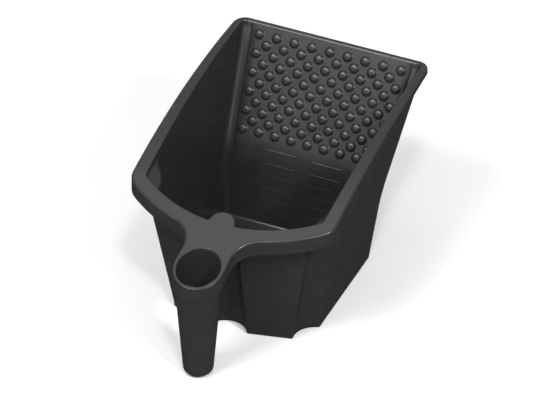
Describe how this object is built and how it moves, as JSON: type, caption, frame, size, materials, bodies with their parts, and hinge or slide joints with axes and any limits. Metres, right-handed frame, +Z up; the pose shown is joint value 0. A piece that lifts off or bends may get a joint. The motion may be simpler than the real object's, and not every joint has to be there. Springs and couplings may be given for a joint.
{
  "type": "paint roller tray",
  "caption": "Hand-held one-piece plastic paint roller tray: deep well, studded roll-off ramp, measuring lines, wide rim and a hollow hanging handle at the front.",
  "frame": {"origin": "under the middle of the tray's bounding box, on the surface that it stands on", "axes": "+Z up, +Y towards the back edge above the roll-off ramp, so the handle is towards -Y, and +X to the right seen from the handle"},
  "size_m": [0.1754, 0.2853, 0.15],
  "materials": {
    "tray_plastic": "satin charcoal moulded plastic with a fine even grain"
  },
  "bodies": {
    "root": {"floor_pan": "tray_plastic", "finger_recess_wall": "tray_plastic", "front_lobe_left": "tray_plastic", "front_lobe_right": "tray_plastic", "corner_flute_left": "tray_plastic", "corner_flute_right": "tray_plastic", "side_wall_left": "tray_plastic", "side_wall_right": "tray_plastic", "lower_back_wall": "tray_plastic", "roll_off_ramp": "tray_plastic", "ramp_gutter_left": "tray_plastic", "ramp_gutter_right": "tray_plastic", "ramp_studs": "tray_plastic", "millilitre_lines": "tray_plastic", "ounce_lines": "tray_plastic", "rim_front_left": "tray_plastic", "rim_front_right": "tray_plastic", "rim_side_left": "tray_plastic", "rim_side_right": "tray_plastic", "rim_back": "tray_plastic", "skirt_front_left": "tray_plastic", "skirt_front_right": "tray_plastic", "skirt_side_left": "tray_plastic", "skirt_side_right": "tray_plastic", "skirt_back": "tray_plastic", "handle_neck": "tray_plastic", "neck_skirt_left": "tray_plastic", "neck_skirt_right": "tray_plastic", "thumb_tab": "tray_plastic", "handle_collar": "tray_plastic", "handle_tube": "tray_plastic", "handle_end": "tray_plastic"}
  },
  "joints": []
}
